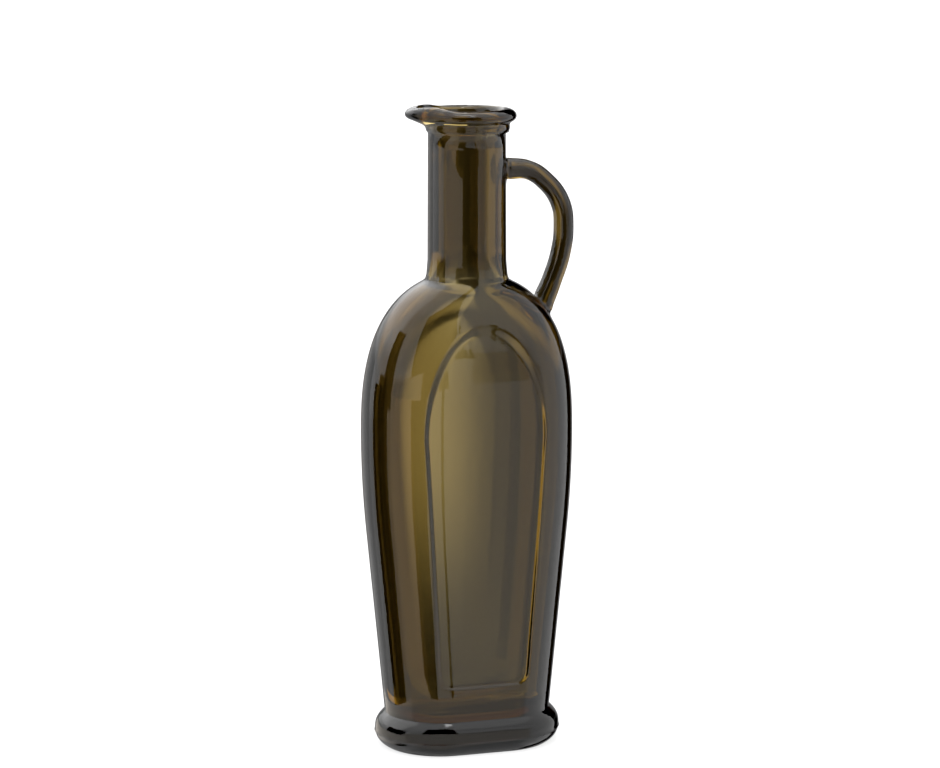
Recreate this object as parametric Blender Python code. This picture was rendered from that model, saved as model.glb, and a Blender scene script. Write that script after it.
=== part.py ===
"""A one-piece glass oil bottle: oval foot, tapering body with a label panel on each
broad face, round neck, pouring lip and loop handle.

Metres, +Z up. The origin is on the neck's axis, on the plane that the foot stands on.
The pouring lip points to -X, the handle to +X, and the broad faces look along -Y and +Y.
Run with: blender --background --python part.py
"""

import math

import bmesh
import bpy

MM = 0.001

# Body: an oval section, two half circles joined by straight sides, that tapers to the foot
BODY_WIDEST_Z = 106.5 * MM
BODY_HALF_WIDTH = 36.0 * MM
BODY_HALF_DEPTH = 21.7 * MM
TAPER_BLEND = 33.0 * MM  # height over which the upright flank turns into the taper
WIDTH_TAPER = 0.0985  # half width lost for each unit of height
DEPTH_TAPER = 0.0375

# Shoulder: both half sizes fall along a superellipse and end in the round neck
SHOULDER_RISE_WIDTH = 52.8 * MM
SHOULDER_RISE_DEPTH = 58.4 * MM
SHOULDER_POWER = 2.5
NECK_FILLET = 3.5 * MM

# Neck and bore
NECK_RADIUS = 13.1 * MM  # at its foot
NECK_TOP_RADIUS = 12.85 * MM
NECK_FOOT_Z = 158.0 * MM
NECK_TOP_Z = 206.1 * MM
BORE_RADIUS = 9.5 * MM

# Collar and the rounded lip above it
COLLAR_RADIUS = 14.2 * MM
COLLAR_FOOT_RADIUS = 13.9 * MM
COLLAR_FOOT_Z = 206.6 * MM
COLLAR_TOP_Z = 209.2 * MM
LIP_RING_RADIUS = 13.0 * MM  # of the rim's highest line
LIP_OUTER_WIDTH = 3.4 * MM
LIP_INNER_WIDTH = 1.8 * MM
LIP_HALF_HEIGHT = 2.3 * MM
LIP_MIDDLE_Z = 211.9 * MM
LIP_FIRST_TURN = math.radians(-60.0)  # round its bead: 0 is outwards, 90 degrees is up
LIP_LAST_TURN = math.radians(165.0)
THROAT_DEPTH = 9.0 * MM

# Spout, pulled out of the lip towards -X
SPOUT_REACH = 4.65 * MM
SPOUT_INNER_REACH = 0.8  # at the bead's inner side, as a share of the reach outside
SPOUT_CHANNEL_REACH = 0.75  # in the throat below it
SPOUT_HALF_ANGLE = math.radians(40.0)
SPOUT_MIDDLE_Z = 212.6 * MM
SPOUT_HALF_HEIGHT = 1.9 * MM
COLLAR_PULLS = (-1.4 * MM, -1.0 * MM, 0.8 * MM)  # at its foot, middle and top
RIDGE_LIFT = 1.0 * MM
RIDGE_ANGLE = math.radians(28.0)
RIDGE_HALF_ANGLE = math.radians(42.0)

# Foot: a bead round the base, with a shallow push-up under it
FOOT_HALF_WIDTH = 31.6 * MM
FOOT_HALF_DEPTH = 21.55 * MM
FOOT_BEAD = 6.2 * MM
FOOT_MIDDLE_Z = 5.6 * MM
FOOT_HALF_HEIGHT = 5.9 * MM
FOOT_POWER = 2.2
FOOT_FILLET = 2.5 * MM
BEARING_WIDTH = 2.8 * MM
PUSH_UP = 2.0 * MM
PUSH_UP_SLOPE = 5.0 * MM

# Glass thickness
BODY_WALL = 3.4 * MM
SHOULDER_WALL = 3.6 * MM
CAVITY_FLOOR_Z = 8.0 * MM
CAVITY_CORNER = 9.0 * MM
BORE_FILLET = 12.0 * MM
BORE_FOOT_Z = 165.3 * MM

# Label panels, sunk evenly into the broad faces
PANEL_DEPTH = 0.7 * MM
PANEL_BOTTOM_Z = 23.0 * MM
PANEL_TOP_Z = 143.0 * MM
PANEL_HALF_WIDTH_BOTTOM = 15.2 * MM
PANEL_HALF_WIDTH_TOP = 20.5 * MM
PANEL_SPRING_Z = 107.5 * MM  # where the straight sides turn into the arch
PANEL_CORNER = 4.0 * MM

# Handle: an oval rod from the neck to the shoulder, in the plane y = 0
HANDLE_RADIUS = 3.25 * MM
HANDLE_DEPTH_RATIO = 1.17  # its size along Y over its size in the plane
HANDLE_ROOT_DEPTH = 1.5 * MM  # how far its ends go into the wall
HANDLE_ROUTE = (
    (9.7, 193.8, 1.45),
    (15.0, 193.8, 1.10),
    (21.2, 193.2, 0.98),
    (26.8, 189.8, 0.98),
    (32.7, 181.9, 1.00),
    (33.9, 173.6, 1.02),
    (32.8, 164.9, 1.02),
    (29.8, 156.0, 1.02),
    (26.9, 149.4, 1.12),
    (23.9, 143.2, 1.45),
)  # x and z in millimetres, then the share of HANDLE_RADIUS

# Solids that only cut: how far each one runs, clear of what it leaves alone
PANEL_PRISM_NEAR = 12.0 * MM
PANEL_PRISM_FAR = 30.0 * MM
PANEL_FLOOR_HEIGHTS = (12.0 * MM, 150.0 * MM)
HANDLE_TRIM_HEIGHTS = (60.0 * MM, 200.0 * MM)

# Resolution
COLUMNS = 60
UNDERSIDE_STEPS = 2
FOOT_STEPS = 8
BODY_STEPS = 7
SHOULDER_STEPS = 11
LIP_STEPS = 9
THROAT_STEPS = 4
CAVITY_STEPS = 7
CAVITY_SHOULDER_STEPS = 9
CORNER_STEPS = 4
ARCH_STEPS = 16
HANDLE_STEPS = 4
HANDLE_BEVEL_RESOLUTION = 2
RING_CLEARANCE = 1.5 * MM  # from the foot's top to the first ring of the body
SHOULDER_OVERRUN = 0.5 * MM  # the shoulder's last ring lies this far up the neck
WELD_DISTANCE = 0.001 * MM
SMOOTH_ANGLE = math.radians(35.0)

GLASS_COLOUR = (0.075, 0.052, 0.016, 1.0)
GLASS_ROUGHNESS = 0.05


def steps(first, last, count):
    """count + 1 even values from first to last."""
    return [first + (last - first) * k / count for k in range(count + 1)]


def smooth_max(one, other, blend):
    """The larger value, with a fillet where the two differ by less than blend."""
    near = max(0.0, blend - abs(one - other)) / blend
    return max(one, other) + blend * near**2 / 4


def window(angle, half_width):
    """A round hump of height 1 at angle 0 that ends at half_width."""
    if abs(angle) >= half_width:
        return 0.0
    return 0.5 + 0.5 * math.cos(math.pi * angle / half_width)


def taper_loss(z):
    """Height below the widest level, counted so that the flank leaves it smoothly."""
    below = BODY_WIDEST_Z - z
    if below <= 0:
        return 0.0
    if below < TAPER_BLEND:
        return below**2 / (2 * TAPER_BLEND)
    return below - TAPER_BLEND / 2


def dome(z, size, rise):
    """Half size of the shoulder at z: size at the widest level, 0 at its top."""
    above = (z - BODY_WIDEST_Z) / rise
    if above <= 0:
        return size
    if above >= 1:
        return 0.0
    return size * (1 - above**SHOULDER_POWER) ** (1 / SHOULDER_POWER)


def body_section(z, inset=0.0):
    """Half width and half depth of body, shoulder and neck, drawn in by inset."""
    width = dome(z, BODY_HALF_WIDTH - inset, SHOULDER_RISE_WIDTH - inset) - WIDTH_TAPER * taper_loss(z)
    depth = dome(z, BODY_HALF_DEPTH - inset, SHOULDER_RISE_DEPTH - inset) - DEPTH_TAPER * taper_loss(z)
    climb = max(0.0, z - NECK_FOOT_Z) / (NECK_TOP_Z - NECK_FOOT_Z)
    neck = NECK_RADIUS + (NECK_TOP_RADIUS - NECK_RADIUS) * climb - inset
    blend = NECK_FILLET + inset
    return smooth_max(width, neck, blend), smooth_max(depth, neck, blend)


def foot_section(z):
    """Half width and half depth of the foot's bead at z, or none above it."""
    level = abs(z - FOOT_MIDDLE_Z) / FOOT_HALF_HEIGHT
    if level >= 1:
        return 0.0, 0.0
    bulge = FOOT_BEAD * (1 - level**FOOT_POWER) ** (1 / FOOT_POWER)
    return FOOT_HALF_WIDTH - FOOT_BEAD + bulge, FOOT_HALF_DEPTH - FOOT_BEAD + bulge


def outer_section(z):
    """Half width and half depth of the outside at z, foot and body together."""
    body, foot = body_section(z), foot_section(z)
    return tuple(smooth_max(b, f, FOOT_FILLET) for b, f in zip(body, foot))


def oval_point(half_width, half_depth, angle):
    """Where the ray at this angle meets two half circles joined by straight sides."""
    centre = max(0.0, half_width - half_depth)
    cosine, sine = math.cos(angle), math.sin(angle)
    if abs(cosine) * half_depth <= centre * abs(sine):
        reach = half_depth / abs(sine)
    else:
        reach = centre * abs(cosine) + math.sqrt(half_depth**2 - (centre * sine) ** 2)
    return reach * cosine, reach * sine


def angles():
    return [2 * math.pi * k / COLUMNS for k in range(COLUMNS)]


def oval_ring(half_width, half_depth, z):
    """One closed ring of points of the body's oval section."""
    return [(*oval_point(half_width, half_depth, a), z) for a in angles()]


def lip_ring(radius, z, spout_z, pull, lift):
    """A round ring of the lip, pulled out by the spout and lifted by its two ridges."""
    ring = []
    for angle in angles():
        aside = angle - math.pi
        spout = window(aside, SPOUT_HALF_ANGLE)
        ridge = window(abs(aside) - RIDGE_ANGLE, RIDGE_HALF_ANGLE)
        reach = radius + pull * spout
        height = z + (spout_z - z) * spout + lift * ridge
        ring.append((reach * math.cos(angle), reach * math.sin(angle), height))
    return ring


def underside_rings():
    """The push-up under the foot, from its flat middle out to the bearing ring."""
    width, depth = foot_section(0.0)
    rings = []
    for share in steps(1.0, 0.0, UNDERSIDE_STEPS):
        inset = BEARING_WIDTH + PUSH_UP_SLOPE * share
        height = PUSH_UP * (0.5 - 0.5 * math.cos(math.pi * share))
        rings.append(oval_ring(width - inset, depth - inset, height))
    return rings


def outside_rings():
    """Foot, body, shoulder and neck, from the standing plane to under the collar."""
    foot_top = FOOT_MIDDLE_Z + FOOT_HALF_HEIGHT
    turn = math.acos(FOOT_MIDDLE_Z / FOOT_HALF_HEIGHT)
    foot = [FOOT_MIDDLE_Z - FOOT_HALF_HEIGHT * math.cos(t) for t in steps(turn, math.pi, FOOT_STEPS)]
    body = steps(foot_top + RING_CLEARANCE, BODY_WIDEST_Z, BODY_STEPS)
    shoulder = [
        BODY_WIDEST_Z + (SHOULDER_RISE_WIDTH + SHOULDER_OVERRUN) * math.sin(t)
        for t in steps(0.0, math.pi / 2, SHOULDER_STEPS)[1:]
    ]
    heights = foot + body + shoulder + [NECK_TOP_Z]
    return [oval_ring(*outer_section(z), z) for z in heights]


def collar_rings():
    """The collar under the lip, pinched at its foot and drawn out at its top by the spout."""
    levels = (COLLAR_FOOT_Z, (COLLAR_FOOT_Z + COLLAR_TOP_Z) / 2, COLLAR_TOP_Z)
    radii = (COLLAR_FOOT_RADIUS, COLLAR_RADIUS, COLLAR_RADIUS)
    return [lip_ring(r, z, z, pull, 0.0) for r, z, pull in zip(radii, levels, COLLAR_PULLS)]


def lip_rings():
    """The lip's round bead, from its underside over the top to the inside of the mouth."""
    rings = []
    for turn in steps(LIP_FIRST_TURN, LIP_LAST_TURN, LIP_STEPS):
        out, up = math.cos(turn), math.sin(turn)
        outer_share, upper_share = 0.5 + 0.5 * out, 0.5 + 0.5 * up
        rings.append(
            lip_ring(
                LIP_RING_RADIUS + (LIP_OUTER_WIDTH if out > 0 else LIP_INNER_WIDTH) * out,
                LIP_MIDDLE_Z + LIP_HALF_HEIGHT * up,
                SPOUT_MIDDLE_Z + SPOUT_HALF_HEIGHT * up,
                SPOUT_REACH * (SPOUT_INNER_REACH + (1 - SPOUT_INNER_REACH) * outer_share),
                RIDGE_LIFT * upper_share,
            )
        )
    return rings


def throat_rings():
    """From the mouth down to the bore, with the spout's channel running out."""
    mouth = LIP_RING_RADIUS - LIP_INNER_WIDTH
    rings = []
    for share in steps(0.0, 1.0, THROAT_STEPS)[1:]:
        z = LIP_MIDDLE_Z - THROAT_DEPTH * share
        wide = 0.5 + 0.5 * math.cos(math.pi * share)
        radius = BORE_RADIUS + (mouth - BORE_RADIUS) * wide
        rings.append(lip_ring(radius, z, z, SPOUT_CHANNEL_REACH * SPOUT_REACH * wide, 0.0))
    return rings


def cavity_section(z):
    """Half width and half depth of the inside, with round corners above its floor."""
    width = dome(z, BODY_HALF_WIDTH - BODY_WALL, SHOULDER_RISE_WIDTH - SHOULDER_WALL)
    depth = dome(z, BODY_HALF_DEPTH - BODY_WALL, SHOULDER_RISE_DEPTH - SHOULDER_WALL)
    width -= WIDTH_TAPER * taper_loss(z)
    depth -= DEPTH_TAPER * taper_loss(z)
    below = CAVITY_CORNER - (z - CAVITY_FLOOR_Z)
    if below > 0:
        corner = CAVITY_CORNER - math.sqrt(max(0.0, CAVITY_CORNER**2 - below**2))
        return width - corner, depth - corner
    return smooth_max(width, BORE_RADIUS, BORE_FILLET), smooth_max(depth, BORE_RADIUS, BORE_FILLET)


def cavity_rings():
    """The inside, from the foot of the bore down to the floor."""
    shoulder = [
        BODY_WIDEST_Z + (SHOULDER_RISE_WIDTH - SHOULDER_WALL) * math.sin(t)
        for t in steps(math.pi / 2, 0.0, CAVITY_SHOULDER_STEPS)
    ]
    corner_top = CAVITY_FLOOR_Z + CAVITY_CORNER
    body = steps(BODY_WIDEST_Z, corner_top, CAVITY_STEPS)[1:-1]
    corner = [corner_top - CAVITY_CORNER * math.sin(t) for t in steps(0.0, math.pi / 2, CORNER_STEPS)]
    heights = [BORE_FOOT_Z] + shoulder + body + corner
    return [oval_ring(*cavity_section(z), z) for z in heights]


def loft(name, rings):
    """A closed mesh through rings of equal length, with a flat face over each end."""
    mesh = bmesh.new()
    rows = [[mesh.verts.new(point) for point in ring] for ring in rings]
    for lower, upper in zip(rows, rows[1:]):
        for k in range(len(lower)):
            near = (k + 1) % len(lower)
            mesh.faces.new((lower[k], lower[near], upper[near], upper[k]))
    mesh.faces.new(reversed(rows[0]))
    mesh.faces.new(rows[-1])
    bmesh.ops.recalc_face_normals(mesh, faces=mesh.faces[:])
    data = bpy.data.meshes.new(name)
    mesh.to_mesh(data)
    mesh.free()
    return bpy.data.objects.new(name, data)


def make_skin():
    """The glass without its handle: up the outside, over the lip and down the inside."""
    rings = underside_rings() + outside_rings() + collar_rings()
    rings += lip_rings() + throat_rings() + cavity_rings()
    return loft("bottle", rings)


def make_inset_body(name, inset, bottom_z, top_z):
    """The outer shape drawn in by inset, as a solid to trim with."""
    heights = steps(bottom_z, BODY_WIDEST_Z, BODY_STEPS)
    heights += steps(BODY_WIDEST_Z, top_z, 3 * SHOULDER_STEPS)[1:]
    return loft(name, [oval_ring(*body_section(z, inset), z) for z in heights])


def make_handle():
    """The handle's rod, swept along its route, as a mesh with welded caps."""
    curve = bpy.data.curves.new("handle_route", "CURVE")
    curve.dimensions = "3D"
    curve.bevel_depth = HANDLE_RADIUS
    curve.bevel_resolution = HANDLE_BEVEL_RESOLUTION
    curve.resolution_u = HANDLE_STEPS
    curve.use_fill_caps = True
    spline = curve.splines.new("BEZIER")
    spline.bezier_points.add(len(HANDLE_ROUTE) - 1)
    for point, (x, z, share) in zip(spline.bezier_points, HANDLE_ROUTE):
        point.co = (x * MM, 0.0, z * MM)
        point.handle_left_type = point.handle_right_type = "AUTO"
        point.radius = share
    rod = bpy.data.objects.new("handle_rod", curve)
    rod.scale = (1.0, HANDLE_DEPTH_RATIO, 1.0)
    bpy.context.scene.collection.objects.link(rod)
    bpy.context.view_layer.update()
    data = bpy.data.meshes.new_from_object(rod.evaluated_get(bpy.context.evaluated_depsgraph_get()))
    data.transform(rod.matrix_world)
    mesh = bmesh.new()
    mesh.from_mesh(data)
    bmesh.ops.remove_doubles(mesh, verts=mesh.verts[:], dist=WELD_DISTANCE)
    bmesh.ops.recalc_face_normals(mesh, faces=mesh.faces[:])
    mesh.to_mesh(data)
    mesh.free()
    bpy.data.objects.remove(rod)
    bpy.data.curves.remove(curve)
    return bpy.data.objects.new("handle", data)


def panel_outline():
    """The label panel's edge as x and z points: straight sides, round corners and an arch."""
    rise = PANEL_TOP_Z - PANEL_SPRING_Z
    points = []
    for turn in steps(0.0, math.pi, ARCH_STEPS):
        points.append((PANEL_HALF_WIDTH_TOP * math.cos(turn), PANEL_SPRING_Z + rise * math.sin(turn)))
    low = PANEL_BOTTOM_Z + PANEL_CORNER
    side = PANEL_HALF_WIDTH_BOTTOM - PANEL_CORNER
    for centre_x, first_turn in ((-side, math.pi), (side, 1.5 * math.pi)):
        for turn in steps(first_turn, first_turn + math.pi / 2, CORNER_STEPS):
            points.append((centre_x + PANEL_CORNER * math.cos(turn), low + PANEL_CORNER * math.sin(turn)))
    return points


def make_panel_cutter(name, side):
    """A prism of the panel's outline, from the middle of the body out past one broad face."""
    rings = [[(x, side * y, z) for x, z in panel_outline()] for y in (PANEL_PRISM_NEAR, PANEL_PRISM_FAR)]
    return loft(name, rings)


def add_boolean(target, operation, cutter):
    modifier = target.modifiers.new(f"{operation.lower()}_{cutter.name}", "BOOLEAN")
    modifier.operation = operation
    modifier.solver = "EXACT"
    modifier.object = cutter


def new_collection(name):
    collection = bpy.data.collections.new(name)
    bpy.context.scene.collection.children.link(collection)
    return collection


def make_glass():
    """Dark olive-brown bottle glass."""
    glass = bpy.data.materials.new("dark_glass")
    glass.use_nodes = True
    shader = glass.node_tree.nodes["Principled BSDF"]
    shader.inputs["Base Color"].default_value = GLASS_COLOUR
    shader.inputs["Roughness"].default_value = GLASS_ROUGHNESS
    shader.inputs["Metallic"].default_value = 0.0
    glass.diffuse_color = GLASS_COLOUR
    return glass


def main():
    for old in list(bpy.data.objects):
        bpy.data.objects.remove(old)
    parts = new_collection("glass_bottle")
    cutters = new_collection("cutters")

    bottle = make_skin()
    handle = make_handle()
    handle_trim = make_inset_body("handle_trim", HANDLE_ROOT_DEPTH, *HANDLE_TRIM_HEIGHTS)
    panel_floor = make_inset_body("panel_floor", PANEL_DEPTH, *PANEL_FLOOR_HEIGHTS)
    front = make_panel_cutter("panel_front", -1)
    back = make_panel_cutter("panel_back", 1)

    parts.objects.link(bottle)
    for cutter in (handle, handle_trim, panel_floor, front, back):
        cutters.objects.link(cutter)
        cutter.hide_render = True
        cutter.display_type = "WIRE"

    add_boolean(handle, "DIFFERENCE", handle_trim)
    add_boolean(bottle, "UNION", handle)
    for panel in (front, back):
        add_boolean(panel, "DIFFERENCE", panel_floor)
        add_boolean(bottle, "DIFFERENCE", panel)

    bottle.data.shade_smooth()
    bottle.data.set_sharp_from_angle(angle=SMOOTH_ANGLE)
    bottle.data.materials.append(make_glass())


main()
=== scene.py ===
# %% [markdown]
# A dark glass oil bottle, with its looks made in Blender.
#
# The real bottle is blown in a mould, in olive-brown glass, and its handle is melted on while it
# is hot. It is one piece of glass, so here it is one mesh: a skin that runs up the outside, over
# the lip and down the inside, with the handle joined to it.
# The cells below go in the order of the work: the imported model, the camera, the shape, the glass,
# and the studio, because glass shows little but what stands round it.

import math

import bmesh
import bpy
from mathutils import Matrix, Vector


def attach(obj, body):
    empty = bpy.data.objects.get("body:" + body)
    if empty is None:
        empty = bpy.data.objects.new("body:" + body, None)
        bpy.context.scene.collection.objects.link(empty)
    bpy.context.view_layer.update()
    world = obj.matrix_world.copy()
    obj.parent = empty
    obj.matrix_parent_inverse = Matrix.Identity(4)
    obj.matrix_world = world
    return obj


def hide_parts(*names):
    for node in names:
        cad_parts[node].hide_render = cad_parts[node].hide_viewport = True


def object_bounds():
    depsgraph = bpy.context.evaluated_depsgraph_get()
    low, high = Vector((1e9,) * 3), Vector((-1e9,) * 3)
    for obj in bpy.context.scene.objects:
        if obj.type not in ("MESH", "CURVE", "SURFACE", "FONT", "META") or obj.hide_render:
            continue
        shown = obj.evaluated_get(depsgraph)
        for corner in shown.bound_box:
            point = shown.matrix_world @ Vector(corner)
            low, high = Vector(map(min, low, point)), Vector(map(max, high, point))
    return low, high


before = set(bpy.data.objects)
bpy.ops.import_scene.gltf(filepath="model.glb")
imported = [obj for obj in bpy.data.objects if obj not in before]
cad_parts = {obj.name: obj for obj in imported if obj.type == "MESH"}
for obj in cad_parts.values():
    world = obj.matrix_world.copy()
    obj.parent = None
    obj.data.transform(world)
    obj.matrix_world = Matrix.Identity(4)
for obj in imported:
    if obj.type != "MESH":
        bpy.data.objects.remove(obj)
cad_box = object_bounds()
MM = 0.001
box_mm = [[round(v / MM, 1) for v in corner] for corner in cad_box]
print("packed nodes:", sorted(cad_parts), "box in mm:", box_mm)

# %% [markdown]
# The camera comes first, because every later step is judged through it. The bottle was taken from
# about a metre away with a long lens, a little from above and from the side of the pouring lip.
# The turn, the height and the distance follow from how the oval foot and the mouth look in the
# picture. A camera that is aimed by hand drifts as one works, so it is placed by these few values.

# %% Camera
VIEW_TURN = math.radians(-18.02)  # from the broad face towards the pouring lip
VIEW_PITCH = math.radians(9.857)  # looking down
VIEW_DISTANCE = 1131.2 * MM
AIM_HEIGHT = 122.24 * MM
AIM_ASIDE = 1.03 * MM  # the bottle stands this little to the left of the picture's middle
LENS = 130.0
SENSOR = 36.0

camera_right = Vector((math.cos(VIEW_TURN), math.sin(VIEW_TURN), 0.0))
level_ahead = Vector((-math.sin(VIEW_TURN), math.cos(VIEW_TURN), 0.0))
look = level_ahead * math.cos(VIEW_PITCH) - Vector((0.0, 0.0, math.sin(VIEW_PITCH)))

camera_data = bpy.data.cameras.new("camera")
camera_data.lens = LENS
camera_data.sensor_width = SENSOR
camera_data.clip_start = 0.01
camera = bpy.data.objects.new("camera", camera_data)
camera.location = Vector((0.0, 0.0, AIM_HEIGHT)) + camera_right * AIM_ASIDE - look * VIEW_DISTANCE
camera.rotation_euler = look.to_track_quat("-Z", "Y").to_euler()
bpy.context.scene.collection.objects.link(camera)
bpy.context.scene.camera = camera
print("camera at", [round(v / MM) for v in camera.location], "mm")

# %% [markdown]
# The outside of the bottle is a stack of level sections. Each one is an oval: two half circles
# joined by straight sides, which turns into a plain circle in the neck. Two numbers for each
# height are enough, the half width and the half depth. A subdivided box would give a softer body,
# but not these even flanks, so the sections are worked out from a few real sizes.

# %% Driving sizes of the outside
BODY_WIDEST_Z = 106.5 * MM
BODY_HALF_WIDTH = 36.0 * MM
BODY_HALF_DEPTH = 21.7 * MM
TAPER_BLEND = 33.0 * MM
WIDTH_TAPER = 0.0985
DEPTH_TAPER = 0.0375
SHOULDER_RISE_WIDTH = 52.8 * MM
SHOULDER_RISE_DEPTH = 58.4 * MM
SHOULDER_POWER = 2.5
NECK_FILLET = 3.5 * MM
NECK_RADIUS = 13.1 * MM
NECK_TOP_RADIUS = 12.85 * MM
NECK_FOOT_Z = 158.0 * MM
NECK_TOP_Z = 206.1 * MM


def steps(first, last, count):
    """count + 1 even values from first to last."""
    return [first + (last - first) * k / count for k in range(count + 1)]


def smooth_step(value):
    """0 below 0, 1 above 1, and a soft rise between them."""
    value = min(1.0, max(0.0, value))
    return value * value * (3 - 2 * value)


def smooth_max(one, other, blend):
    """The larger value, with a fillet where the two differ by less than blend."""
    near = max(0.0, blend - abs(one - other)) / blend
    return max(one, other) + blend * near**2 / 4


def taper_loss(z):
    """Height below the widest level, counted so that the flank leaves it smoothly."""
    below = BODY_WIDEST_Z - z
    if below <= 0:
        return 0.0
    if below < TAPER_BLEND:
        return below**2 / (2 * TAPER_BLEND)
    return below - TAPER_BLEND / 2


def dome(z, size, rise):
    """Half size of the shoulder at z: size at the widest level, 0 at its top."""
    above = (z - BODY_WIDEST_Z) / rise
    if above <= 0:
        return size
    if above >= 1:
        return 0.0
    return size * (1 - above**SHOULDER_POWER) ** (1 / SHOULDER_POWER)


def body_section(z, inset=0.0):
    """Half width and half depth of body, shoulder and neck, drawn in by inset."""
    width = dome(z, BODY_HALF_WIDTH - inset, SHOULDER_RISE_WIDTH - inset) - WIDTH_TAPER * taper_loss(z)
    depth = dome(z, BODY_HALF_DEPTH - inset, SHOULDER_RISE_DEPTH - inset) - DEPTH_TAPER * taper_loss(z)
    climb = max(0.0, z - NECK_FOOT_Z) / (NECK_TOP_Z - NECK_FOOT_Z)
    neck = NECK_RADIUS + (NECK_TOP_RADIUS - NECK_RADIUS) * climb - inset
    blend = NECK_FILLET + inset
    return smooth_max(width, neck, blend), smooth_max(depth, neck, blend)


print("widest section, mm:", [round(2 * v / MM, 1) for v in body_section(BODY_WIDEST_Z)])

# %% [markdown]
# The foot is a bead round the base, where the glass filled the base plate's groove. It is fuller
# than a half circle, and a fine seam runs round it where the base plate met the mould. The seam
# is a real ridge a quarter of a millimetre high, because it catches the light as a thin line.

# %% The foot
FOOT_HALF_WIDTH = 31.6 * MM
FOOT_HALF_DEPTH = 21.55 * MM
FOOT_BEAD = 6.2 * MM
FOOT_MIDDLE_Z = 5.6 * MM
FOOT_HALF_HEIGHT = 5.9 * MM
FOOT_POWER = 2.2
FOOT_FILLET = 2.5 * MM
SEAM_Z = 4.6 * MM
SEAM_HEIGHT = 0.25 * MM
SEAM_HALF_WIDTH = 0.35 * MM


def foot_section(z):
    """Half width and half depth of the foot's bead at z, or none above it."""
    level = abs(z - FOOT_MIDDLE_Z) / FOOT_HALF_HEIGHT
    if level >= 1:
        return 0.0, 0.0
    bulge = FOOT_BEAD * (1 - level**FOOT_POWER) ** (1 / FOOT_POWER)
    bulge += SEAM_HEIGHT * smooth_step(1 - abs(z - SEAM_Z) / SEAM_HALF_WIDTH)
    return FOOT_HALF_WIDTH - FOOT_BEAD + bulge, FOOT_HALF_DEPTH - FOOT_BEAD + bulge


def outer_section(z):
    """Half width and half depth of the outside at z, foot and body together."""
    return tuple(smooth_max(b, f, FOOT_FILLET) for b, f in zip(body_section(z), foot_section(z)))


print("foot, mm:", [round(2 * v / MM, 1) for v in outer_section(FOOT_MIDDLE_Z)])

# %% [markdown]
# Every ring of points keeps the bearings of the ring before it, as seen from the bottle's axis.
# So a ring needs no list of points: it is extruded from the last one, and each of its points
# moves out or in along its own bearing until it lies on the new section. The two helpers here
# find that place, one for the oval body and one for the round lip with its pouring spout.

# %% Places on a section
SPOUT_HALF_ANGLE = math.radians(40.0)
RIDGE_ANGLE = math.radians(28.0)
RIDGE_HALF_ANGLE = math.radians(42.0)


def window(angle, half_width):
    """A round hump of height 1 at angle 0 that ends at half_width."""
    if abs(angle) >= half_width:
        return 0.0
    return 0.5 + 0.5 * math.cos(math.pi * angle / half_width)


def oval_place(half_width, half_depth, z):
    """Says where the point of each bearing lies on an oval section."""
    centre = max(0.0, half_width - half_depth)

    def place(bearing):
        cosine, sine = math.cos(bearing), math.sin(bearing)
        if abs(cosine) * half_depth <= centre * abs(sine):
            reach = half_depth / abs(sine)
        else:
            reach = centre * abs(cosine) + math.sqrt(half_depth**2 - (centre * sine) ** 2)
        return reach * cosine, reach * sine, z

    return place


def lip_place(radius, z, spout_z, pull, lift):
    """The same for a round ring that the spout pulls out and its two ridges lift."""

    def place(bearing):
        aside = math.pi - abs(bearing)
        spout = window(aside, SPOUT_HALF_ANGLE)
        ridge = window(aside - RIDGE_ANGLE, RIDGE_HALF_ANGLE)
        reach = radius + pull * spout
        height = z + (spout_z - z) * spout + lift * ridge
        return reach * math.cos(bearing), reach * math.sin(bearing), height

    return place


sample_point = oval_place(BODY_HALF_WIDTH, BODY_HALF_DEPTH, BODY_WIDEST_Z)(1.0)
print("a point on the widest section, mm:", [round(v / MM, 1) for v in sample_point])

# %% [markdown]
# The skin starts as one circle under the foot, made by an operator. Its edges are extruded again
# and again, and each new ring is moved to its place, which leaves clean rows of four-sided faces.
# Spinning a profile would be shorter, but the body is an oval, which no spin can make.

# %% Growing the skin ring by ring
COLUMNS = 176


def first_ring(mesh, place):
    """A circle of COLUMNS points, moved to its place. Gives back its edges."""
    made = bmesh.ops.create_circle(mesh, cap_ends=False, segments=COLUMNS, radius=1.0)
    for vert in made["verts"]:
        vert.co = place(math.atan2(vert.co.y, vert.co.x))
    return list({edge for vert in made["verts"] for edge in vert.link_edges})


def next_ring(mesh, edges, place):
    """Extrudes a ring of edges and moves the new points to their place."""
    made = bmesh.ops.extrude_edge_only(mesh, edges=edges)["geom"]
    for vert in (item for item in made if isinstance(item, bmesh.types.BMVert)):
        vert.co = place(math.atan2(vert.co.y, vert.co.x))
    return [item for item in made if isinstance(item, bmesh.types.BMEdge)]


skin = bmesh.new()
FOOT_STEPS = 40
SEAM_STEPS = 6
SEAM_CLEARANCE = 1.2 * SEAM_HALF_WIDTH  # no other ring comes this near the seam
BODY_STEPS = 62
SHOULDER_STEPS = 44
NECK_STEPS = 10
foot_top = FOOT_MIDDLE_Z + FOOT_HALF_HEIGHT
foot_turn = math.acos(FOOT_MIDDLE_Z / FOOT_HALF_HEIGHT)
heights = [FOOT_MIDDLE_Z - FOOT_HALF_HEIGHT * math.cos(t) for t in steps(foot_turn, math.pi, FOOT_STEPS)]
seam_heights = steps(SEAM_Z - SEAM_HALF_WIDTH, SEAM_Z + SEAM_HALF_WIDTH, SEAM_STEPS)
heights = sorted([z for z in heights if abs(z - SEAM_Z) > SEAM_CLEARANCE] + seam_heights)
heights += steps(foot_top, BODY_WIDEST_Z, BODY_STEPS)[1:]
heights += [
    BODY_WIDEST_Z + SHOULDER_RISE_WIDTH * math.sin(t) for t in steps(0.0, math.pi / 2, SHOULDER_STEPS)[1:]
]
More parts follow.
